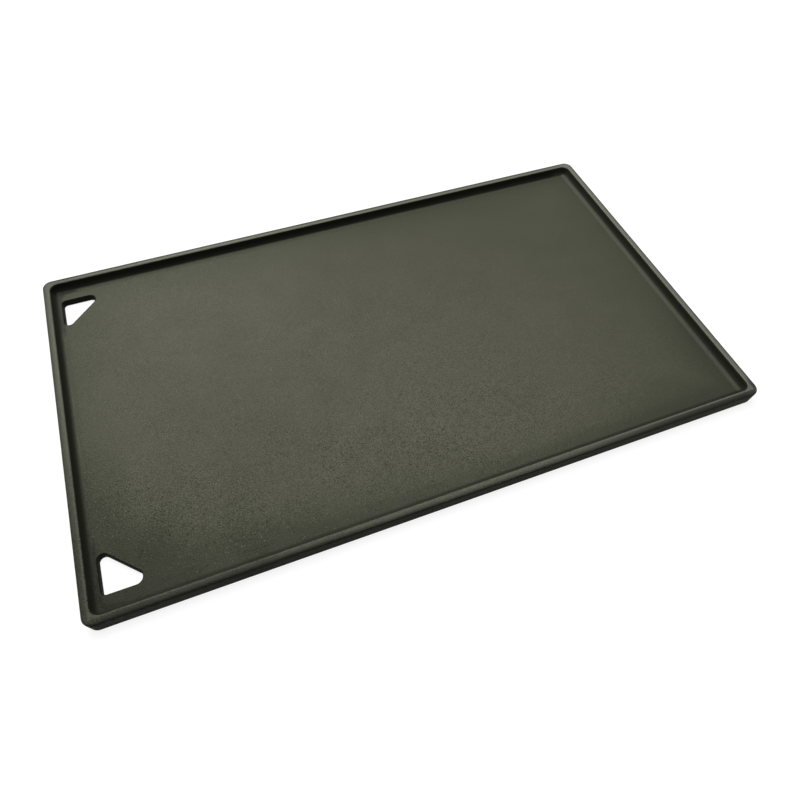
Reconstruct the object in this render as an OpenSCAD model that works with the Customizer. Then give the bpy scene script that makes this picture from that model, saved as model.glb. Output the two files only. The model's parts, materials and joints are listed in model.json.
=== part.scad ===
// Camp griddle plate: one flat iron casting with a raised rim all round, and a
// three-cornered hole in each corner of one end to lift it by and to drain fat.
// It lies flat with +Z up. The origin is the middle of the underside, and +X runs
// along the plate, away from the end with the holes.

/* [Plate] */
// Length over the rim, along X
plate_l = 406; // [300:1:520]
// Width over the rim, along Y
plate_w = 243; // [180:1:320]
// Thickness of iron under the cooking surface
base_t = 5; // [4:0.5:8]
// Corner radius in plan, at the widest line of the rim
corner_r = 6; // [5.5:0.5:24]
// Lean of the outer wall, in towards the underside, in degrees
outer_draft = 5; // [0.5:0.5:8]
// Round along the lower edge of the outer wall
under_r = 1; // [0.5:0.25:2]

/* [Rim] */
// Height of the rim above the cooking surface
rim_h = 6; // [5:0.5:12]
// Width across the top of the rim, between its two walls
rim_w = 4.75; // [4:0.25:9]
// Round on the outer top edge of the rim
rim_outer_r = 1.5; // [0.5:0.25:2]
// Round on the inner top edge of the rim
rim_inner_r = 1.4; // [0.4:0.2:1.6]
// Lean of the inner wall, out towards the top, in degrees
inner_draft = 8; // [2:1:35]
// Hollow round between the inner wall and the cooking surface
foot_r = 3.5; // [1:0.25:3.5]
// Corner radius in plan, at the inner edge of the rim's top
inner_corner_r = 5; // [5:0.25:20]

/* [Corner holes] */
// Flat left between the foot of the short rim and a hole
hole_gap_x = 1.1; // [1:0.1:20]
// Flat left between the foot of a long rim and a hole
hole_gap_y = 7.5; // [1:0.1:30]
// Opening of a hole along the plate
hole_l = 20.5; // [14:0.5:36]
// Opening of a hole across the plate
hole_w = 22; // [14:0.5:36]
// Round in the square corner of a hole
hole_square_r = 2.25; // [1:0.25:4]
// Round in the corner of a hole that points along the plate
hole_along_r = 3.75; // [1:0.25:5]
// Round in the corner of a hole that points across the plate
hole_across_r = 2.75; // [1:0.25:5]
// Bevel on the upper and lower edges of a hole
hole_bevel = 0.7; // [0.2:0.1:1]

/* [Hidden] */
$fn = 64;

// Dark olive iron
iron_colour = [0.33, 0.33, 0.29];
// Least flat that a section keeps inside its rounds, and how much of it the straight core laps
section_flat = 0.5;
core_lap = section_flat / 2;
// Run of a cut past the face that it opens
cut_over = 1;
// How far the ends of a leaning wall lie inside the rounds beside it, so that the two cross cleanly
tuck = 0.001;

plate_h = base_t + rim_h;

// Rounds a length up to a tenth of a millimetre
function up_to_tenth(length) = ceil(length * 10) / 10;

// Outer wall, as insets from the widest line of the rim: where its two rounds end
outer_tangent_z = plate_h - rim_outer_r * (1 + sin(outer_draft));
outer_tangent_in = rim_outer_r * (1 - cos(outer_draft));
under_tangent_z = under_r * (1 - sin(outer_draft));
under_tangent_in = outer_tangent_in + (outer_tangent_z - under_tangent_z) * tan(outer_draft);
// Inset of the flat underside, and of the core that the outer section meets
under_in = under_tangent_in + under_r * cos(outer_draft);
outer_lap = up_to_tenth(max(under_in, rim_outer_r) + section_flat);

// Inner wall, as insets from the inner edge of the rim's top: where its two rounds end
lip_tangent_z = plate_h - rim_inner_r * (1 - sin(inner_draft));
lip_tangent_in = (plate_h - lip_tangent_z) * tan(inner_draft);
foot_tangent_z = base_t + foot_r * (1 - sin(inner_draft));
foot_tangent_in = (plate_h - foot_tangent_z) * tan(inner_draft);
// Inset of the flat cooking surface, and of the core that the tray's section meets
floor_in = foot_tangent_in + foot_r * cos(inner_draft);
tray_lap = up_to_tenth(floor_in + section_flat);
// A wide plate corner carries the tray's corner with it, so that the rim keeps its width
tray_corner_r = max(inner_corner_r, tray_lap + section_flat, corner_r - rim_w);

// The rounded corners of a hole as [x, y, radius], from the crossing of its two straight legs
hole_rounds = [
    [hole_square_r, hole_square_r, hole_square_r],
    [hole_l - hole_along_r, hole_along_r, hole_along_r],
    [hole_across_r, hole_w - hole_across_r, hole_across_r]
];
// Distance of those legs from the plate's outline
hole_in_x = rim_w + floor_in + hole_gap_x;
hole_in_y = rim_w + floor_in + hole_gap_y;

// A block whose plan is the plate's rectangle, inset and with rounded corners. Its edge has the
// section given as the child: x runs outwards from the outline and y is the height. The section
// starts at -lap, just inside the edge of the block's straight core.
module edged_block(inset, radius, lap, low, high) {
    centre_x = plate_l / 2 - inset - radius;
    centre_y = plate_w / 2 - inset - radius;
    core_r = radius - lap + core_lap;
    translate([0, 0, low])
        linear_extrude(high - low)
            for (reach = [[core_r, 0], [0, core_r], [core_r / 2, core_r / 2]])
                square(2 * ([centre_x, centre_y] + reach), center = true);
    for (quarter = [0 : 3]) {
        ahead = quarter % 2 == 0 ? centre_x : centre_y;
        aside = quarter % 2 == 0 ? centre_y : centre_x;
        rotate(90 * quarter) {
            translate([ahead + radius, aside, 0])
                rotate([90, 0, 0])
                    linear_extrude(2 * aside)
                        children();
            translate([ahead, aside, 0])
                rotate_extrude(angle = 90) {
                    translate([0, low])
                        square([core_r, high - low]);
                    translate([radius, 0])
                        children();
                }
        }
    }
}

// Outer edge of the casting: rounded rim top, leaning wall and rounded lower edge
module outer_section() {
    intersection() {
        union() {
            polygon([
                [-outer_lap, 0],
                [-under_in, 0],
                [-under_tangent_in - tuck, under_tangent_z],
                [-outer_tangent_in - tuck, outer_tangent_z],
                [-rim_outer_r, plate_h],
                [-outer_lap, plate_h]
            ]);
            translate([-under_in, under_r])
                circle(under_r);
            translate([-rim_outer_r, plate_h - rim_outer_r])
                circle(rim_outer_r);
        }
        translate([-outer_lap, 0])
            square([outer_lap, plate_h]);
    }
}

// Edge of the tray inside the rim: hollow round at its foot, leaning wall and rounded lip
module tray_section() {
    lip_out = rim_inner_r * cos(inner_draft) - lip_tangent_in;
    difference() {
        union() {
            polygon([
                [-tray_lap, base_t],
                [-floor_in, base_t],
                [-foot_tangent_in - tuck, foot_tangent_z],
                [-lip_tangent_in + tuck, lip_tangent_z],
                [lip_out, plate_h],
                [lip_out, plate_h + cut_over],
                [-tray_lap, plate_h + cut_over]
            ]);
            intersection() {
                translate([-floor_in, base_t + foot_r])
                    circle(foot_r);
                translate([-tray_lap, base_t])
                    square([tray_lap, foot_r]);
            }
        }
        translate([lip_out, plate_h - rim_inner_r])
            circle(rim_inner_r);
    }
}

// Part of the cut for a hole, its rounds grown by one amount at the bottom and another at the top
module hole_span(low, high, grow_low, grow_high) {
    translate([0, 0, low])
        hull()
            for (corner = hole_rounds)
                translate([corner[0], corner[1], 0])
                    cylinder(h = high - low, r1 = corner[2] + grow_low, r2 = corner[2] + grow_high, $fn = 32);
}

// Cut for a hole, with the crossing of its two straight legs at the origin
module corner_hole() {
    hole_span(-cut_over, base_t + cut_over, 0, 0);
    hole_span(-cut_over, hole_bevel, hole_bevel + cut_over, 0);
    hole_span(base_t - hole_bevel, base_t + cut_over, 0, hole_bevel + cut_over);
}

module griddle_plate() {
    color(iron_colour)
        difference() {
            edged_block(0, corner_r, outer_lap, 0, plate_h)
                outer_section();
            edged_block(rim_w, tray_corner_r, tray_lap, base_t, plate_h + cut_over)
                tray_section();
            for (end = [0, 1])
                mirror([0, end, 0])
                    translate([hole_in_x - plate_l / 2, hole_in_y - plate_w / 2, 0])
                        corner_hole();
        }
}

griddle_plate();
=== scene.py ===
# The looks of a camp griddle plate: one seasoned iron casting, lying on a pale studio floor.
# The left end is the one with the two holes, and the front is the long side towards -Y.
import json
import math
from typing import NamedTuple

import bpy
from mathutils import Matrix, Vector


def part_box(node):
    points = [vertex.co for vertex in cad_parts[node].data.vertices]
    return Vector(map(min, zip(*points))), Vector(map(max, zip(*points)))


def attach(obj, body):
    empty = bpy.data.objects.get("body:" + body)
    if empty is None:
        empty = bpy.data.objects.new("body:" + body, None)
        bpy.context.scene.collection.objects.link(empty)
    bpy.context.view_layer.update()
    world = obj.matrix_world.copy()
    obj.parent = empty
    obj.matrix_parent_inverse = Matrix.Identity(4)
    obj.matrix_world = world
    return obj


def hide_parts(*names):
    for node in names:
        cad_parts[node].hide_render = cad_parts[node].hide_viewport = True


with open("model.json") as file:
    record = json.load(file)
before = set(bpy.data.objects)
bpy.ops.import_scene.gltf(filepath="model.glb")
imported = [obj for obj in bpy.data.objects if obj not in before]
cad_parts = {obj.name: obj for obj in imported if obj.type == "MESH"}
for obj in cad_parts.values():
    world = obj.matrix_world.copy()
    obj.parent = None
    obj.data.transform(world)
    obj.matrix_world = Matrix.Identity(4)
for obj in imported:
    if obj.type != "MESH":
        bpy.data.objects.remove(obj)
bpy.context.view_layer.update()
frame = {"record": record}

MM = 0.001

# Driving sizes of the casting, in metres. Its box and its cooking surface come from the frame.
plate_low, plate_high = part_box("griddle_plate")
plate_size = plate_high - plate_low
mount_places = {mount["name"]: mount["pos_m"] for mount in frame["record"]["mounts"]}
base_thickness = mount_places["cooking_surface"][2]
rim_height = plate_size.z - base_thickness
outer_draft = math.radians(5)
inner_draft = math.radians(8)
rim_outer_round = 1.5 * MM
# Where the sharp edges of the leaning outer wall would be, out from the widest line of the rim
rim_overhang = rim_outer_round * (1 / math.cos(outer_draft) + math.tan(outer_draft) - 1)
under_inset = plate_size.z * math.tan(outer_draft) - rim_overhang
# The sizes that the casting's node tree takes, by the names of its inputs. The hole's leg is that
# of the sharp right-angled triangle, before its corners are rounded.
CASTING_SIZES = {
    "Length": plate_size.x,
    "Width": plate_size.y,
    "Height": plate_size.z,
    "Base": base_thickness,
    "Corner Radius": 6 * MM,
    "Rim Overhang": rim_overhang,
    "Under Inset": under_inset,
    "Rim Outer Round": rim_outer_round,
    "Under Round": 1 * MM,
    "Rim Width": 4.75 * MM,
    "Wall Lean": rim_height * math.tan(inner_draft),
    "Lip Round": 1.4 * MM,
    "Foot Round": 3.5 * MM,
    "Tray Corner Radius": 5 * MM,
    "Hole Inset X": 9.74 * MM,
    "Hole Inset Y": 16.14 * MM,
    "Hole Leg": 25.8 * MM,
    "Hole Square Round": 2.25 * MM,
    "Hole Along Round": 3.75 * MM,
    "Hole Across Round": 2.75 * MM,
    "Hole Edge Round": 0.8 * MM,
    "Surface Cell": 1.6 * MM,
    "Underside Cell": 3 * MM,
    "Swell": 0.16 * MM,
    "Ripple": 0.05 * MM,
    "Rubbed Depth": 0.8 * MM,
}

# Steps in each rounded corner or edge of the casting, and cuts in its straight sides
ARC_STEPS = 8
SIDE_CUTS = 150
HOLE_SIDE_CUTS = 8
# Flat strips that each swept edge keeps beside its rounds
OUTER_STRIP = 2.3 * MM
TRAY_STRIP = 3.95 * MM
LIP_STRIP = 1.5 * MM
HOLE_STRIP = 0.9 * MM
# Room that the grids of small faces leave inside the outline and round the holes
SURFACE_MARGIN = 11.5 * MM
UNDERSIDE_MARGIN = 5 * MM
HOLE_ROOM = 3 * MM
# How near two points are to be one, and how near a height is to be a level
WELD_DISTANCE = 0.002 * MM
LEVEL_SLACK = 0.01 * MM
# How upright a face's normal is where the skin starts to count as a wall, and where it fully does
WALL_STARTS = 0.99
WALL_FULL = 0.72
# Waves to a metre in the swell and the ripple of the skin
SWELL_WAVES = 32
RIPPLE_WAVES = 170


class Zone(NamedTuple):
    """Where an effect starts, where it is full, and how strong it then is."""

    start: float
    full: float
    strength: float = 1


class Number:
    """A number in a node tree. Sums, products and tests of it become Math nodes."""

    def __init__(self, tree, socket):
        self.tree = tree
        self.socket = socket

    def math(self, operation, *others):
        node = self.tree.nodes.new("ShaderNodeMath")
        node.operation = operation
        for socket, value in zip(node.inputs, (self,) + others):
            feed(self.tree, socket, value)
        return Number(self.tree, node.outputs[0])

    def __add__(self, other):
        return self.math("ADD", other)

    def __sub__(self, other):
        return self.math("SUBTRACT", other)

    def __rsub__(self, other):
        return -self + other

    def __mul__(self, other):
        return self.math("MULTIPLY", other)

    def __truediv__(self, other):
        return self.math("DIVIDE", other)

    def __mod__(self, other):
        return self.math("MODULO", other)

    def __neg__(self):
        return self * -1

    def absolute(self):
        return self.math("ABSOLUTE")

    def larger(self, other):
        return self.math("MAXIMUM", other)

    def smaller(self, other):
        return self.math("MINIMUM", other)

    def is_over(self, other):
        return self.math("GREATER_THAN", other)

    def is_under(self, other):
        return self.math("LESS_THAN", other)

    def equals(self, other, slack=0.1):
        return self.math("COMPARE", other, slack)

    def soft_step(self, zone):
        """Goes softly from 0 where a zone starts to its strength where it is full. The number may
        rise or fall on the way."""
        inputs = {
            "Value": self,
            "From Min": zone.start,
            "From Max": zone.full,
            "To Max": zone.strength,
        }
        return number(
            self.tree, "ShaderNodeMapRange", 0, inputs, interpolation_type="SMOOTHSTEP"
        )


def feed(tree, socket, value):
    """Links a node, socket or number to an input, or sets the input to a plain value."""
    if isinstance(value, Number):
        tree.links.new(value.socket, socket)
    elif isinstance(value, bpy.types.Node):
        tree.links.new(value.outputs[0], socket)
    elif isinstance(value, bpy.types.NodeSocket):
        tree.links.new(value, socket)
    else:
        socket.default_value = value


def add(tree, kind, inputs=None, **settings):
    """A new node with its settings made and its inputs fed by name."""
    node = tree.nodes.new(kind)
    for name, value in settings.items():
        setattr(node, name, value)
    for name, value in (inputs or {}).items():
        feed(tree, node.inputs[name], value)
    return node


def number(tree, kind, output=0, inputs=None, **settings):
    """One output of a new node, as a number."""
    return Number(tree, add(tree, kind, inputs, **settings).outputs[output])


def vector(tree, x=0.0, y=0.0, z=0.0):
    """A vector of three numbers."""
    return add(tree, "ShaderNodeCombineXYZ", {"X": x, "Y": y, "Z": z})


def parts_of(tree, whole):
    """The three numbers of a vector."""
    split = add(tree, "ShaderNodeSeparateXYZ", {"Vector": whole})
    return [Number(tree, part) for part in split.outputs]


def join(tree, *parts):
    """Several meshes as one."""
    node = tree.nodes.new("GeometryNodeJoinGeometry")
    for part in parts:
        tree.links.new(part.outputs[0], node.inputs[0])
    return node


# The casting's shape: sections swept round outlines, and flat faces between them


def rounded_outline(tree, corners, radius, cuts):
    """A closed outline with rounded corners, its straight sides cut into short lengths."""
    arcs = add(
        tree,
        "GeometryNodeFilletCurve",
        {"Curve": corners, "Count": ARC_STEPS, "Radius": radius},
        mode="POLY",
    )
    starts_side = (number(tree, "GeometryNodeInputIndex") % (ARC_STEPS + 1)).equals(ARC_STEPS)
    sides = add(tree, "GeometryNodeSubdivideCurve", {"Curve": arcs, "Cuts": starts_side * cuts})
    return add(tree, "GeometryNodeSetCurveNormal", {"Curve": sides}, mode="Z_UP")


def edge_section(tree, points, first_round, second_round):
    """An open line through four points, each given as its way out and its height, with the two
    middle corners rounded. A sweep turns a section's Y downwards, so heights are negative here."""
    corners = {
        f"Point {place}": vector(tree, out, -height)
        for place, (out, height) in enumerate(points, start=1)
    }
    ring = add(tree, "GeometryNodeCurvePrimitiveQuadrilateral", corners, mode="POINTS")
    line = add(tree, "GeometryNodeSetSplineCyclic", {"Geometry": ring, "Cyclic": False})
    index = number(tree, "GeometryNodeInputIndex")
    radius = index.equals(1) * first_round + index.equals(2) * second_round
    return add(
        tree,
        "GeometryNodeFilletCurve",
        {"Curve": line, "Count": ARC_STEPS, "Radius": radius},
        mode="POLY",
    )


def sweep(tree, outline, section):
    """The surface that a section leaves along an outline."""
    return add(tree, "GeometryNodeCurveToMesh", {"Curve": outline, "Profile Curve": section})


def plate_edge(tree, size, inset, radius, section):
    """A section swept round the plate's rectangle, inset and with rounded corners."""
    corners = add(
        tree,
        "GeometryNodeCurvePrimitiveQuadrilateral",
        {"Width": size["Length"] - inset * 2, "Height": size["Width"] - inset * 2},
    )
    return sweep(tree, rounded_outline(tree, corners, radius, SIDE_CUTS), section)


def outer_edge(tree, size):
    """The outer half of the rim, the leaning outer wall and the rounded lower edge."""
    points = [
        (-OUTER_STRIP, size["Height"]),
        (size["Rim Overhang"], size["Height"]),
        (-size["Under Inset"], 0),
        (-OUTER_STRIP, 0),
    ]
    section = edge_section(tree, points, size["Rim Outer Round"], size["Under Round"])
    return plate_edge(tree, size, 0, size["Corner Radius"], section)


def tray_edge(tree, size):
    """The hollow round at the edge of the cooking surface, the inner wall and the rounded lip."""
    points = [
        (-TRAY_STRIP, size["Base"]),
        (-size["Wall Lean"], size["Base"]),
        (0, size["Height"]),
        (LIP_STRIP, size["Height"]),
    ]
    section = edge_section(tree, points, size["Foot Round"], size["Lip Round"])
    return plate_edge(tree, size, size["Rim Width"], size["Tray Corner Radius"], section)


def corner_holes(tree, size):
    """The walls of the two three-cornered holes, with soft edges above and below."""
    index = number(tree, "GeometryNodeInputIndex")
    triangle = vector(
        tree, index.equals(1) * size["Hole Leg"], index.equals(2) * size["Hole Leg"]
    )
    three_points = add(tree, "GeometryNodeCurvePrimitiveCircle", {"Resolution": 3})
    corners = add(
        tree, "GeometryNodeSetPosition", {"Geometry": three_points, "Position": triangle}
    )
    radius = (
        index.equals(0) * size["Hole Square Round"]
        + index.equals(1) * size["Hole Along Round"]
        + index.equals(2) * size["Hole Across Round"]
    )
    points = [(HOLE_STRIP, 0), (0, 0), (0, size["Base"]), (HOLE_STRIP, size["Base"])]
    section = edge_section(tree, points, size["Hole Edge Round"], size["Hole Edge Round"])
    wall = sweep(tree, rounded_outline(tree, corners, radius, HOLE_SIDE_CUTS), section)
    place = vector(
        tree,
        size["Hole Inset X"] - size["Length"] / 2,
        size["Hole Inset Y"] - size["Width"] / 2,
    )
    front = add(tree, "GeometryNodeTransform", {"Geometry": wall, "Translation": place})
    mirrored = add(tree, "GeometryNodeTransform", {"Geometry": front, "Scale": (1, -1, 1)})
    back = add(tree, "GeometryNodeFlipFaces", {"Mesh": mirrored})
    return join(tree, front, back)


def small_faces(tree, size, cell, margin, level):
    """A flat grid inside the plate's outline, open round the holes."""
    across_x = size["Length"] - margin * 2
    across_y = size["Width"] - margin * 2
    grid = add(
        tree,
        "GeometryNodeMeshGrid",
        {
            "Size X": across_x,
            "Size Y": across_y,
            "Vertices X": across_x / cell,
            "Vertices Y": across_y / cell,
        },
    )
    x, y, _ = parts_of(tree, add(tree, "GeometryNodeInputPosition"))
    end_x = size["Hole Inset X"] + size["Hole Leg"] - size["Length"] / 2 + HOLE_ROOM
    end_y = size["Width"] / 2 - size["Hole Inset Y"] - size["Hole Leg"] - HOLE_ROOM
    near_hole = x.is_under(end_x) * y.absolute().is_over(end_y)
    opened = add(
        tree,
        "GeometryNodeDeleteGeometry",
        {"Geometry": grid, "Selection": near_hole},
        domain="FACE",
    )
    return at_level(tree, opened, level)


def at_level(tree, mesh, level):
    """A flat mesh moved up to a height."""
    return add(
        tree,
        "GeometryNodeTransform",
        {"Geometry": mesh, "Translation": vector(tree, z=level)},
    )


def level_fill(tree, mesh, level):
    """Flat faces that close the open edges of a mesh at one height."""
    open_edge = number(tree, "GeometryNodeInputMeshEdgeNeighbors").equals(1)
    height = parts_of(tree, add(tree, "GeometryNodeInputPosition"))[2]
    loops = add(
        tree,
        "GeometryNodeMeshToCurve",
        {"Mesh": mesh, "Selection": open_edge * height.equals(level, LEVEL_SLACK)},
    )
    faces = add(tree, "GeometryNodeFillCurve", {"Curve": loops}, mode="TRIANGLES")
    return at_level(tree, faces, level)


def uneven(tree, size, mesh):
    """Sinks the skin by slow swells and small ripples, as sand casting leaves it. The underside
    stays flat, and nothing grows past the sizes of the casting."""
    height = parts_of(tree, add(tree, "GeometryNodeInputPosition"))[2]
    rise = (height / size["Base"]).smaller(1)
    swell = number(tree, "ShaderNodeTexNoise", "Fac", {"Scale": SWELL_WAVES, "Detail": 2})
    ripple = number(tree, "ShaderNodeTexNoise", "Fac", {"Scale": RIPPLE_WAVES, "Detail": 3})
    depth = (swell - 1) * size["Swell"] + (ripple - 1) * size["Ripple"]
    offset = add(
        tree,
        "ShaderNodeVectorMath",
        {"Vector": add(tree, "GeometryNodeInputNormal"), "Scale": depth * rise},
        operation="SCALE",
    )
    return add(tree, "GeometryNodeSetPosition", {"Geometry": mesh, "Offset": offset})


def mark(tree, mesh, name, value):
    """Keeps a number at each point of a mesh, for the finish to read."""
    return add(
        tree,
        "GeometryNodeStoreNamedAttribute",
        {"Geometry": mesh, "Name": name, "Value": value},
        data_type="FLOAT",
        domain="POINT",
    )


def marked(tree, size, mesh):
    """Marks where the skin is a wall, where it is the wall of a hole, where the rim gets rubbed,
    and how far a point is from the edge of the plate, in metres."""
    upright = parts_of(tree, add(tree, "GeometryNodeInputNormal"))[2].absolute()
    wall = (WALL_STARTS - upright) / (WALL_STARTS - WALL_FULL)
    x, y, height = parts_of(tree, add(tree, "GeometryNodeInputPosition"))
    rubbed = 1 - (size["Height"] - height) / size["Rubbed Depth"]
    edge_x = size["Length"] / 2 - x.absolute()
    edge_y = size["Width"] / 2 - y.absolute()
    edge_distance = edge_x.smaller(edge_y)
    in_base = height.is_over(LEVEL_SLACK) * (size["Base"] - height).is_over(LEVEL_SLACK)
    hole_wall = in_base * edge_distance.is_over(size["Rim Width"])
    mesh = mark(tree, mesh, "wall", wall.larger(0).smaller(1))
    mesh = mark(tree, mesh, "hole_wall", hole_wall)
    mesh = mark(tree, mesh, "rubbed", rubbed.larger(0))
    return mark(tree, mesh, "edge_distance", edge_distance)


def casting_tree(sizes):
    """The node tree of the whole casting, with a named input for each size and for its finish."""
    tree = bpy.data.node_groups.new("casting", "GeometryNodeTree")
    tree.interface.new_socket("Geometry", in_out="OUTPUT", socket_type="NodeSocketGeometry")
    tree.interface.new_socket("Finish", in_out="INPUT", socket_type="NodeSocketMaterial")
    for name in sizes:
        tree.interface.new_socket(name, in_out="INPUT", socket_type="NodeSocketFloat")
    entry = tree.nodes.new("NodeGroupInput")
    size = {name: Number(tree, entry.outputs[name]) for name in sizes}

    surface_grid = small_faces(
        tree, size, size["Surface Cell"], SURFACE_MARGIN, size["Base"]
    )
    underside_grid = small_faces(tree, size, size["Underside Cell"], UNDERSIDE_MARGIN, 0)
    underside_grid = add(tree, "GeometryNodeFlipFaces", {"Mesh": underside_grid})
    edges = join(tree, outer_edge(tree, size), tray_edge(tree, size), corner_holes(tree, size))
    open_skin = join(tree, edges, surface_grid, underside_grid)
    underside = add(tree, "GeometryNodeFlipFaces", {"Mesh": level_fill(tree, open_skin, 0)})
    surface = level_fill(tree, open_skin, size["Base"])
    rim_top = level_fill(tree, open_skin, size["Height"])
    skin = join(tree, open_skin, underside, surface, rim_top)
    welded = add(
        tree, "GeometryNodeMergeByDistance", {"Geometry": skin, "Distance": WELD_DISTANCE}
    )
    skin = uneven(tree, size, marked(tree, size, welded))
    smooth = add(tree, "GeometryNodeSetShadeSmooth", {"Geometry": skin})
    whole = add(tree, "GeometryNodeRealizeInstances", {"Geometry": smooth})
    finished = add(
        tree,
        "GeometryNodeSetMaterial",
        {"Geometry": whole, "Material": entry.outputs["Finish"]},
    )
    add(tree, "NodeGroupOutput", {"Geometry": finished})
    return tree


def grown(name, tree, values):
    """A plain mesh object made by a node tree with these input values."""
    piece = bpy.data.objects.new(name, bpy.data.meshes.new(name))
    bpy.context.scene.collection.objects.link(piece)
    modifier = piece.modifiers.new(name, "NODES")
    modifier.node_group = tree
    for socket in tree.interface.items_tree:
        if socket.in_out == "INPUT":
            modifier[socket.identifier] = values[socket.name]
    graph = bpy.context.evaluated_depsgraph_get()
    mesh = bpy.data.meshes.new_from_object(piece.evaluated_get(graph), depsgraph=graph)
    piece.modifiers.remove(modifier)
    piece.data = mesh
    mesh.name = name
    return piece


# Tools for finishes

# Places of the colours among the sockets of a Mix node
MIX_FIRST = 6
MIX_SECOND = 7
MIX_RESULT = 2


def empty_material(name):
    """A node material with nothing in it yet, and its tree."""
    material = bpy.data.materials.new(name)
    material.use_nodes = True
    material.node_tree.nodes.clear()
    return material, material.node_tree


def node_group(name, inputs, outputs):
    """An empty shader node group, with its entry and exit nodes."""
    group = bpy.data.node_groups.new(name, "ShaderNodeTree")
    for socket, kind in inputs.items():
        group.interface.new_socket(socket, in_out="INPUT", socket_type=kind)
    for socket, kind in outputs.items():
        group.interface.new_socket(socket, in_out="OUTPUT", socket_type=kind)
    entry = group.nodes.new("NodeGroupInput")
    leave = group.nodes.new("NodeGroupOutput")
    return group, entry, leave


def noise(tree, place, scale, detail, roughness=0.5):
    """Soft noise from 0 to 1, with its scale in waves to a metre."""
    inputs = {"Vector": place, "Scale": scale, "Detail": detail, "Roughness": roughness}
    return number(tree, "ShaderNodeTexNoise", "Fac", inputs)


def mixed(tree, share, first, second):
    """Two colours mixed by a share of the second."""
    inputs = {"Factor": share, MIX_FIRST: first, MIX_SECOND: second}
    return add(tree, "ShaderNodeMix", inputs, data_type="RGBA").outputs[MIX_RESULT]


def layered(tree, ground, *coats):
    """A ground colour under several coats, each given as its share and its colour."""
    colour = ground
    for share, coat in coats:
        colour = mixed(tree, share, colour, coat)
    return colour


def point_mark(tree, name):
    """A number that the casting's tree has kept at each point."""
    return number(tree, "ShaderNodeAttribute", "Fac", attribute_name=name)


# Marks of the casting sand


class Dots(NamedTuple):
    """Small dots in some cells of a pattern: cells to a metre, radius in cells, share of cells."""

    cells: float
    radius: float
    share: float


PITS = Dots(660, 0.34, 0.16)
SPECKS = Dots(820, 0.34, 0.22)
# Where a dot is fully there, as a share of its radius
DOT_CORE = 0.4
# Waves to a metre in the grain and in the patches where the sand has bitten deeper
FINE_WAVES = 1200
MEDIUM_WAVES = 480
COARSE_WAVES = 260
PATCH_WAVES = 45
# Noise turned into crisp grain and into deeper patches, and the depth between those patches
CRISP_GRAIN = Zone(0.3, 0.7)
DEEPER_PATCH = Zone(0.35, 0.65, 0.3)
LEAST_DEPTH = 0.65
# Shares of the coarser grains beside the fine one. The mean of all three is taken off their sum, so
# that the grain lies about its middle.
MEDIUM_SHARE = 0.6
COARSE_SHARE = 0.5
GRAIN_MEAN = 1.05
GRAIN_MIDDLE = 0.5
# What each kind of mark does to the height of the skin
GRAIN_RISE = 0.7
COARSE_RISE = 0.5
PIT_DROP = 0.5
SPECK_RISE = 0.3
# How far the fine noise, counted from its mean, pushes the outlines of the dots about
NOISE_MEAN = 0.5
RAGGEDNESS = 1.2 * MM


def scattered_dots(tree, place, dots):
    """Soft dots in a share of the cells of a pattern."""
    cells = add(tree, "ShaderNodeTexVoronoi", {"Vector": place, "Scale": dots.cells})
    chance = number(tree, "ShaderNodeSeparateColor", 0, {"Color": cells.outputs["Color"]})
    inside = Zone(dots.radius, dots.radius * DOT_CORE)
    dot = Number(tree, cells.outputs["Distance"]).soft_step(inside)
    return dot * chance.is_under(dots.share)


def sand_skin_group():
    """The skin that casting sand leaves: grain, pits and specks, and the height of all three."""
    group, entry, leave = node_group(
        "sand_skin",
        {"Place": "NodeSocketVector", "Depth": "NodeSocketFloat"},
        {
            "Grain": "NodeSocketFloat",
            "Pits": "NodeSocketFloat",
            "Specks": "NodeSocketFloat",
            "Height": "NodeSocketFloat",
        },
    )
    place = entry.outputs["Place"]
    patches = noise(group, place, PATCH_WAVES, detail=2).soft_step(DEEPER_PATCH) + LEAST_DEPTH
    depth = patches * Number(group, entry.outputs["Depth"])
    fine = noise(group, place, FINE_WAVES, detail=2, roughness=0.6)
    medium = noise(group, place, MEDIUM_WAVES, detail=2)
    coarse = noise(group, place, COARSE_WAVES, detail=2)
    grains = fine.soft_step(CRISP_GRAIN) + medium * MEDIUM_SHARE + coarse * COARSE_SHARE
    grain = (grains - GRAIN_MEAN) * depth + GRAIN_MIDDLE
    ragged = add(
        group,
        "ShaderNodeVectorMath",
        {"Vector": place, 1: (fine - NOISE_MEAN) * RAGGEDNESS},
        operation="ADD",
    )
    pits = scattered_dots(group, ragged, PITS) * depth
    specks = scattered_dots(group, ragged, SPECKS) * depth
    height = grain * GRAIN_RISE + coarse * COARSE_RISE - pits * PIT_DROP + specks * SPECK_RISE
    marks = {"Grain": grain, "Pits": pits, "Specks": specks, "Height": height}
    for name, value in marks.items():
        feed(group, leave.inputs[name], value)
    return group


# The seasoned coat

# Waves to a metre in the tone of the coat, and the noise turned into tone
TONE_PATCH_WAVES = 14
TONE_CLOUD_WAVES = 60
TONE_CONTRAST = Zone(0.3, 0.7)


def seasoning_group():
    """The uneven tone of a baked-on oil coat, from 0 where it is dark to 1 where it is worn."""
    group, entry, leave = node_group(
        "seasoning", {"Place": "NodeSocketVector"}, {"Tone": "NodeSocketFloat"}
    )
    place = entry.outputs["Place"]
    patches = noise(group, place, TONE_PATCH_WAVES, detail=2)
    clouds = noise(group, place, TONE_CLOUD_WAVES, detail=3)
    feed(group, leave.inputs["Tone"], ((patches + clouds) / 2).soft_step(TONE_CONTRAST))
    return group


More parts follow.
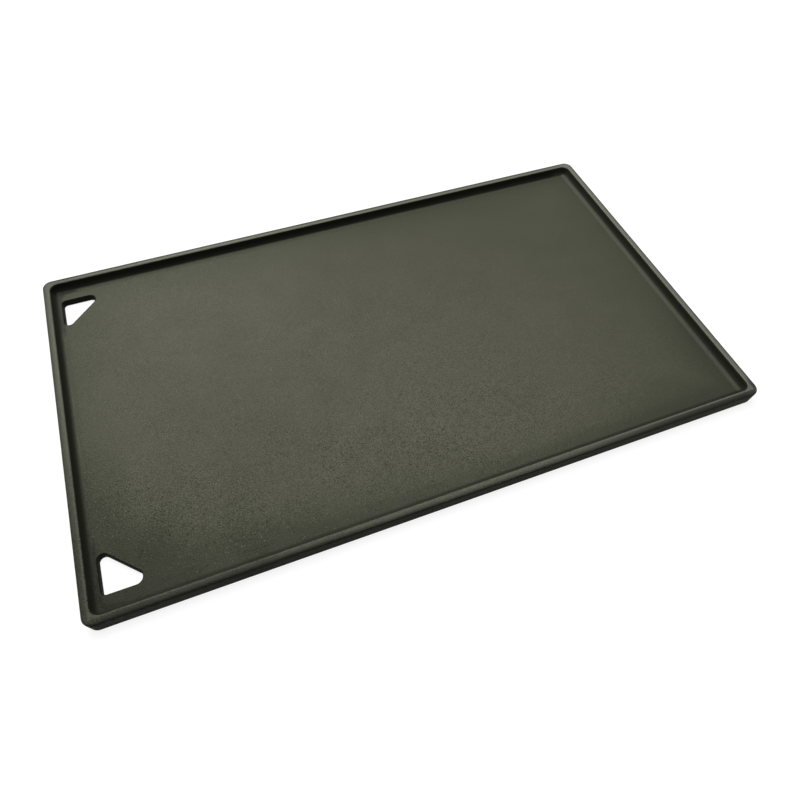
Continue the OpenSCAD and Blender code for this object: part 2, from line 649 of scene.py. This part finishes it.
# Colours of the iron, as linear red, green, blue and alpha
BAKED_OIL = (0.080, 0.083, 0.057, 1)
THIN_OIL = (0.100, 0.103, 0.073, 1)
# Painted sheen on the middle of the cooking surface
SHEEN_COLOUR = (0.124, 0.127, 0.091, 1)
# Painted highlight at the foot of the rim, and painted sheen on the rim's top
HIGHLIGHT_COLOUR = (0.205, 0.207, 0.164, 1)
DARK_MARGIN = (0.054, 0.056, 0.039, 1)
# Painted shade round the front hole
CORNER_SHADE_COLOUR = (0.020, 0.021, 0.015, 1)
GRAIN_HOLLOW = (0.030, 0.031, 0.021, 1)
PIT_BLACK = (0.014, 0.0145, 0.010, 1)
SPECK_GREY = (0.170, 0.172, 0.138, 1)
# Near black, for the painted shade at the foot of the rim and the darker outside of the rim's top
NEAR_BLACK = (0.010, 0.0105, 0.008, 1)
RIM_IRON = (0.100, 0.102, 0.076, 1)
DULL_RIM = (0.033, 0.034, 0.026, 1)
# Painted shade on the walls of the rim and of the holes, with painted light on the right inner wall
OUTER_WALL = (0.008, 0.008, 0.006, 1)
PALE_OUTER_WALL = (0.020, 0.020, 0.015, 1)
INNER_WALL = (0.012, 0.0125, 0.009, 1)
BACK_INNER_WALL = (0.006, 0.006, 0.005, 1)
RIGHT_INNER_WALL = (0.020, 0.021, 0.015, 1)
HOLE_WALL = (0.006, 0.006, 0.005, 1)

# The zones of the finish are shares of the plate's length or width from its middle, from -0.5 to
# 0.5, or else metres from one of its sides or from the nearest one. On the diagonal from the front
# left corner to the back right one, the two shares are added up.

# Heights over which the plain underside gives way to the finish of the upper side
UPPER_SIDE = Zone(2.5 * MM, 4 * MM)
FRONT_HALF = Zone(0, -0.4)
FRONT_STRIP = Zone(-0.44, -0.47)
# Where along the front the margin and the rim's darker outside are weakest, and the way from there
# over which that ends
FRONT_MIDDLE = 0.12
OFF_FRONT_MIDDLE = Zone(0.05, 0.5)


class PlatePlace:
    """Where a point lies on the plate, as the numbers that its finish is worked out from."""

    def __init__(self, tree):
        self.point = tree.nodes.new("ShaderNodeTexCoord").outputs["Object"]
        x, y, z = parts_of(tree, self.point)
        self.along = x / plate_size.x
        self.across = y / plate_size.y
        self.above = z.soft_step(UPPER_SIDE)
        self.from_left = x + plate_size.x / 2
        self.from_right = plate_size.x / 2 - x
        self.from_front = y + plate_size.y / 2
        self.from_back = plate_size.y / 2 - y
        self.from_edge = point_mark(tree, "edge_distance")
        self.diagonal = self.along + self.across
        self.front = self.across.soft_step(FRONT_HALF)
        self.front_strip = self.across.soft_step(FRONT_STRIP)
        self.off_middle = (self.along - FRONT_MIDDLE).absolute().soft_step(OFF_FRONT_MIDDLE)


# Depth of the sand's marks all over, and what the front half adds to it
EVEN_DEPTH = 0.72
FRONT_DEPTH = 0.75
# What the right end and the back take off that depth, and what the corner adds
SMOOTH_RIGHT = Zone(0, 0.4, 0.65)
SMOOTH_BACK = Zone(0.05, 0.33, 0.6)
SMOOTH_BACK_ALONG = Zone(-0.35, -0.05)
COARSE_CORNER = Zone(-0.55, -0.75)


def sand_depth(place):
    """How deep the sand has marked the skin: little at the right and the back, more at the front,
    and most in the front left corner."""
    smooth_right = place.along.soft_step(SMOOTH_RIGHT)
    smooth_back = place.across.soft_step(SMOOTH_BACK) * place.along.soft_step(SMOOTH_BACK_ALONG)
    depth = (place.front * FRONT_DEPTH + EVEN_DEPTH) * (1 - smooth_right) * (1 - smooth_back)
    return depth + place.diagonal.soft_step(COARSE_CORNER)


# Strength of the margin all round, and what it gains at the two ends of the front
EVEN_MARGIN = 0.3
FRONT_END_MARGIN = 1.05
MARGIN = Zone(40 * MM, 8 * MM)
FRONT_MARGIN = Zone(20 * MM, 9 * MM, 0.25)
BACK_MARGIN = Zone(0.2, 0.45, 0.2)
CORNER_MARGIN = Zone(-0.6, -0.85, 0.35)


def dark_margin(place):
    """Darker towards the rim, most of all at the ends of the front."""
    front_ends = place.front * place.off_middle * FRONT_END_MARGIN
    strength = front_ends + place.across.soft_step(BACK_MARGIN) + EVEN_MARGIN
    margin = place.from_edge.soft_step(MARGIN) * strength
    margin = margin + place.from_edge.soft_step(FRONT_MARGIN) * place.front
    return (margin + place.diagonal.soft_step(CORNER_MARGIN)) * place.above


# Painted shade round the front hole and in a thin strip along the front
CORNER_ALONG = Zone(-0.33, -0.42, 0.65)
CORNER_ACROSS = Zone(-0.25, -0.4)
FRONT_SHADE = Zone(-0.42, -0.45, 0.2)


def corner_shade(place):
    """Painted shade round the front hole, and a thin strip of it along the front."""
    corner = place.along.soft_step(CORNER_ALONG) * place.across.soft_step(CORNER_ACROSS)
    return (corner + place.across.soft_step(FRONT_SHADE)) * place.above


# The narrow bridge of iron between each hole and the rim beside it
HOLE_END = Zone(-0.44, -0.46, 0.9)
HOLE_SIDES = Zone(0.28, 0.33)
HOLE_BRIDGE = Zone(11 * MM, 8.4 * MM)
# The foot of the rim at the front and at the left, with a haze of painted shade before the left one
FRONT_FOOT = Zone(9.5 * MM, 7.7 * MM)
LEFT_FOOT = Zone(9.2 * MM, 6.8 * MM, 0.45)
LEFT_FOOT_HAZE = Zone(12.5 * MM, 10 * MM, 0.15)


def foot_shade(place):
    """Painted shade in the hollow at the foot of the rim: at the front, at the left and beside the
    holes.
    """
    beside_hole = place.along.soft_step(HOLE_END) * place.across.absolute().soft_step(HOLE_SIDES)
    bridge = place.from_edge.soft_step(HOLE_BRIDGE) * beside_hole
    front = place.from_front.soft_step(FRONT_FOOT)
    left = place.from_left.soft_step(LEFT_FOOT_HAZE) + place.from_left.soft_step(LEFT_FOOT)
    return bridge.larger(front).larger(left) * place.above


# Strength of the painted highlight at the right, and what it loses towards the front
RIGHT_SHINE = 0.4
RIGHT_SHINE_LOST = 0.12
# The two sides of each line of painted highlight, as it comes in from the rim and from the surface
RIGHT_SHINE_OUTSIDE = Zone(6.8 * MM, 8.2 * MM)
RIGHT_SHINE_INSIDE = Zone(10.4 * MM, 8.6 * MM)
BACK_SHINE_OUTSIDE = Zone(7.2 * MM, 8.4 * MM)
BACK_SHINE_INSIDE = Zone(10.2 * MM, 8.8 * MM, 0.18)


def foot_highlight(place):
    """A painted highlight at the foot of the rim, at the right and the back, where the hollow round
    catches the light.
    """
    right = place.from_right.soft_step(RIGHT_SHINE_OUTSIDE)
    right = right * place.from_right.soft_step(RIGHT_SHINE_INSIDE)
    back = place.from_back.soft_step(BACK_SHINE_OUTSIDE)
    back = back * place.from_back.soft_step(BACK_SHINE_INSIDE)
    strength = RIGHT_SHINE - place.front * RIGHT_SHINE_LOST
    return (right * strength + back) * place.above


# Thinness of the coat, what its tone adds to that, and how much lighter the surface gets from the
# right end to the left
EVEN_THINNESS = 0.25
TONE_THINNESS = 0.5
LIGHTER_TO_LEFT = 0.6
# Middle of the painted sheen on the cooking surface, how far it reaches, and its share, which the
# coat's tone breaks up
SHEEN_MIDDLE = (0.045, -0.045, 0.005)
SHEEN_REACH = Zone(170 * MM, 30 * MM)
EVEN_SHEEN = 0.7
TONE_SHEEN = 0.6
# Most that the sand's marks and the painted shade at the foot of the rim cover
GRAIN_COVER = 0.8
PIT_COVER = 0.85
SPECK_COVER = 0.45
FOOT_SHADE_COVER = 0.95


def surface_colour(tree, place, skin, tone):
    """The cooking surface: a baked coat with a painted sheen in the middle, darker at its margins,
    painted shade and a painted highlight at the foot of the rim, and the marks of the sand in it."""
    grain, pits, specks = (Number(tree, skin.outputs[name]) for name in ("Grain", "Pits", "Specks"))
    way = add(tree, "ShaderNodeVectorMath", {0: place.point, 1: SHEEN_MIDDLE}, operation="DISTANCE")
    sheen_share = Number(tree, way.outputs["Value"]).soft_step(SHEEN_REACH)
    painted_shade = corner_shade(place)
    thinness = tone * TONE_THINNESS - place.along * LIGHTER_TO_LEFT + EVEN_THINNESS
    return layered(
        tree,
        mixed(tree, thinness, BAKED_OIL, THIN_OIL),
        (sheen_share * (tone * TONE_SHEEN + EVEN_SHEEN), SHEEN_COLOUR),
        (dark_margin(place), DARK_MARGIN),
        (painted_shade, CORNER_SHADE_COLOUR),
        (foot_highlight(place), HIGHLIGHT_COLOUR),
        ((1 - grain) * GRAIN_COVER, GRAIN_HOLLOW),
        (pits * PIT_COVER, PIT_BLACK),
        (specks * (1 - painted_shade) * SPECK_COVER, SPECK_GREY),
        (foot_shade(place) * FOOT_SHADE_COVER, NEAR_BLACK),
    )


# A painted sheen on the rim, brighter towards the back right corner. This is the share along the
# plate and half the share across it.
RIM_SHEEN = Zone(-0.6, 0.45)
# The ends of the front, most that their dull coat covers, and what the painted highlight along the
# lip takes off
DULL_LEFT = Zone(-0.1, -0.4)
DULL_RIGHT = Zone(0.1, 0.4)
DULL_COVER = 0.85
LIP_LINE = Zone(3 * MM, 3.8 * MM, 0.7)
# The darker outside of the rim's top, and how much less dark it is at the plate's ends and at the
# front
DARK_OUTSIDE = Zone(3.5 * MM, 1 * MM)
LIGHTER_ENDS = Zone(0.47, 0.485, 0.55)
LIGHTER_FRONT = 0.4


def rim_colour(tree, place, outer_dark_line):
    """The rim's top: painted sheen towards the back right, dull front corners, darker towards its
    outside.
    """
    rim_sheen = (place.along + place.across / 2).soft_step(RIM_SHEEN)
    dull = place.front * place.along.soft_step(DULL_LEFT)
    dull = dull + place.front_strip * place.along.soft_step(DULL_RIGHT)
    # A painted highlight along the lip is left clear of the dull coat
    dull = dull * (DULL_COVER - place.from_edge.soft_step(LIP_LINE))
    outer_lighter = place.front_strip * (1 - place.off_middle) * LIGHTER_FRONT
    outer_lighter = outer_lighter + place.along.absolute().soft_step(LIGHTER_ENDS)
    outer_dark = place.from_edge.soft_step(DARK_OUTSIDE) * (1 - outer_lighter)
    outer_dark = outer_dark.larger(outer_dark_line)
    return layered(tree, RIM_IRON, (rim_sheen, HIGHLIGHT_COLOUR), (dull, DULL_RIM), (outer_dark, NEAR_BLACK))


PALE_OUTER_END = Zone(-0.1, 0.5)
BACK_WALL = Zone(0.45, 0.47)
RIGHT_WALL = Zone(0.45, 0.47)
# Where a wall counts as an inner one
INNER_SIDE = Zone(2 * MM, 4 * MM)


def wall_colour(tree, place):
    """The walls of the rim, dark with painted shade: outside darker, paler towards the right end;
    inside darkest at the back and lighter at the right, where more light falls.
    """
    outer = mixed(tree, place.along.soft_step(PALE_OUTER_END), OUTER_WALL, PALE_OUTER_WALL)
    inner = layered(
        tree,
        INNER_WALL,
        (place.across.soft_step(BACK_WALL), BACK_INNER_WALL),
        (place.along.soft_step(RIGHT_WALL), RIGHT_INNER_WALL),
    )
    return mixed(tree, place.from_edge.soft_step(INNER_SIDE), outer, inner)


# Where the rim counts as rubbed, and how much the grain breaks up its edge
RUBBED_RIM = Zone(0.175, 0.775)
RIM_GRAIN = 0.15
# Dark line along the outside of the right rim, and a painted shadow at the foot of the back wall
RIGHT_OUTER_LINE = Zone(1.9 * MM, 1.2 * MM)
BACK_WALL_FOOT = Zone(8.3 * MM, 6.5 * MM)
# Most that the painted shade on the walls of the holes covers
HOLE_COVER = 0.95
# Roughness of the skin, and what walls, the outer line, the rim, the tone and the grain do to it
SKIN_ROUGHNESS = 0.5
STEEP_WALL = Zone(0.5, 1)
WALL_ROUGHER = 0.4
LINE_ROUGHER = 0.6
RIM_SMOOTHER = 0.16
TONE_SMOOTHER = 0.05
GRAIN_SMOOTHER = 0.08
# Gloss of the coat, and the depth of its bumps
COAT_SPECULAR = 0.13
COAT_TINT = (0.96, 1, 0.76, 1)
BUMP_DEPTH = 0.12 * MM


def seasoned_iron():
    """Matt dark olive iron: sand-cast skin, walls dark with painted shade, darker margins and a
    painted sheen on the rim.
    """
    material, tree = empty_material("seasoned_iron")
    shader = add(tree, "ShaderNodeBsdfPrincipled")
    add(tree, "ShaderNodeOutputMaterial", {"Surface": shader})
    place = PlatePlace(tree)
    skin = add(
        tree,
        "ShaderNodeGroup",
        {"Place": place.point, "Depth": sand_depth(place)},
        node_tree=sand_skin_group(),
    )
    grain = Number(tree, skin.outputs["Grain"])
    tone = number(
        tree, "ShaderNodeGroup", "Tone", {"Place": place.point}, node_tree=seasoning_group()
    )

    rim = (point_mark(tree, "rubbed") + grain * RIM_GRAIN).soft_step(RUBBED_RIM)
    outer_dark_line = place.from_right.soft_step(RIGHT_OUTER_LINE) * rim
    # At the foot of the back wall the walls' painted shade reaches onto the surface, as a painted
    # shadow
    wall = point_mark(tree, "wall").larger(place.from_back.soft_step(BACK_WALL_FOOT) * place.above)
    hole_wall = point_mark(tree, "hole_wall")
    colour = layered(
        tree,
        surface_colour(tree, place, skin, tone),
        (rim * (grain + 1) / 2, rim_colour(tree, place, outer_dark_line)),
        (wall * (1 - rim), wall_colour(tree, place)),
        (hole_wall * HOLE_COVER, HOLE_WALL),
    )
    feed(tree, shader.inputs["Base Color"], colour)

    steep = (wall.soft_step(STEEP_WALL) * (1 - rim)).larger(hole_wall)
    rougher = steep * WALL_ROUGHER + outer_dark_line * LINE_ROUGHER + SKIN_ROUGHNESS
    smoother = rim * RIM_SMOOTHER + tone * TONE_SMOOTHER + grain * GRAIN_SMOOTHER
    feed(tree, shader.inputs["Roughness"], rougher - smoother)
    shader.inputs["Specular IOR Level"].default_value = COAT_SPECULAR
    shader.inputs["Specular Tint"].default_value = COAT_TINT

    bump = add(tree, "ShaderNodeBump", {"Strength": 1, "Distance": BUMP_DEPTH})
    feed(tree, bump.inputs["Height"], skin.outputs["Height"])
    feed(tree, shader.inputs["Normal"], bump)
    return material


# The part


casting = grown(
    "griddle_casting",
    casting_tree(CASTING_SIZES),
    {"Finish": seasoned_iron(), **CASTING_SIZES},
)
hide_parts("griddle_plate")
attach(casting, "root")


# The studio

WHITE = (1, 1, 1, 1)
# Paint of the floor, which takes the shadow, and its own glow, which rises to white far off
FLOOR_PAINT = (0.25, 0.25, 0.25, 1)
FLOOR_GLOW = 0.86
FAR_GLOW = Zone(0.4, 1.8, 0.14)
# Width of the camera's sensor in millimetres, and the least distance that it sees in metres
SENSOR_WIDTH = 36
NEAREST_SEEN = 0.01


def seen_rays(tree):
    """1 on rays that show a surface itself: to the camera, in a reflection or through glass."""
    path = tree.nodes.new("ShaderNodeLightPath")
    rays = ("Is Camera Ray", "Is Glossy Ray", "Is Transmission Ray")
    camera, glossy, through = (Number(tree, path.outputs[name]) for name in rays)
    return camera.larger(glossy).larger(through)


def pale_floor():
    """A white floor that keeps the shadow of the plate, and meets the background far off."""
    material, tree = empty_material("pale_floor")
    paint = add(tree, "ShaderNodeBsdfDiffuse", {"Color": FLOOR_PAINT})
    place = tree.nodes.new("ShaderNodeTexCoord").outputs["Object"]
    way = number(tree, "ShaderNodeVectorMath", "Value", {"Vector": place}, operation="LENGTH")
    strength = seen_rays(tree) * (way.soft_step(FAR_GLOW) + FLOOR_GLOW)
    glow = add(tree, "ShaderNodeEmission", {"Color": WHITE, "Strength": strength})
    both = add(tree, "ShaderNodeAddShader", {0: paint, 1: glow})
    add(tree, "ShaderNodeOutputMaterial", {"Surface": both})
    return material


def floor_plane(half, level):
    """A flat square floor."""
    mesh = bpy.data.meshes.new("floor")
    plan = [(-half, -half), (half, -half), (half, half), (-half, half)]
    mesh.from_pydata([(x, y, level) for x, y in plan], [], [(0, 1, 2, 3)])
    floor = bpy.data.objects.new("floor", mesh)
    bpy.context.scene.collection.objects.link(floor)
    mesh.materials.append(pale_floor())


def softbox(name, place, size_x, size_y, power):
    """A rectangular lamp at one place, turned towards the plate."""
    lamp = bpy.data.lights.new(name, "AREA")
    lamp.shape = "RECTANGLE"
    lamp.size = size_x
    lamp.size_y = size_y
    lamp.energy = power
    holder = bpy.data.objects.new(name, lamp)
    bpy.context.scene.collection.objects.link(holder)
    holder.location = place
    holder.rotation_euler = (-Vector(place)).to_track_quat("-Z", "Y").to_euler()


def studio_world(background, ambient):
    """A pale background, with a weaker grey as the light that it gives."""
    world = bpy.data.worlds.new("studio")
    world.use_nodes = True
    tree = world.node_tree
    tree.nodes.clear()
    strength = seen_rays(tree) * (background - ambient) + ambient
    shade = add(tree, "ShaderNodeBackground", {"Color": WHITE, "Strength": strength})
    add(tree, "ShaderNodeOutputWorld", {"Surface": shade})
    bpy.context.scene.world = world


def photo_camera(place, aim, roll, lens):
    """A camera at one place that looks at another, turned about its own axis by the roll."""
    camera = bpy.data.cameras.new("camera")
    camera.sensor_width = SENSOR_WIDTH
    camera.lens = lens
    camera.clip_start = NEAREST_SEEN
    holder = bpy.data.objects.new("camera", camera)
    bpy.context.scene.collection.objects.link(holder)
    level = (Vector(aim) - Vector(place)).to_track_quat("-Z", "Y").to_matrix()
    turned = level @ Matrix.Rotation(roll, 3, "Z")
    holder.matrix_world = Matrix.Translation(place) @ turned.to_4x4()
    bpy.context.scene.camera = holder


floor_plane(half=4, level=-0.1 * MM)
softbox("overhead", place=(0, 0.2, 1.6), size_x=1.2, size_y=0.8, power=16)
softbox("back", place=(-0.16, 0.75, 0.85), size_x=0.5, size_y=0.4, power=5.9)
studio_world(background=1.0, ambient=0.06)
photo_camera(
    place=(-0.0993, -0.2492, 0.33315),
    aim=(-0.01096, -0.05007, 0.011),
    roll=math.radians(3.18),
    lens=29.01,
)
bpy.context.scene.view_settings.view_transform = "Standard"
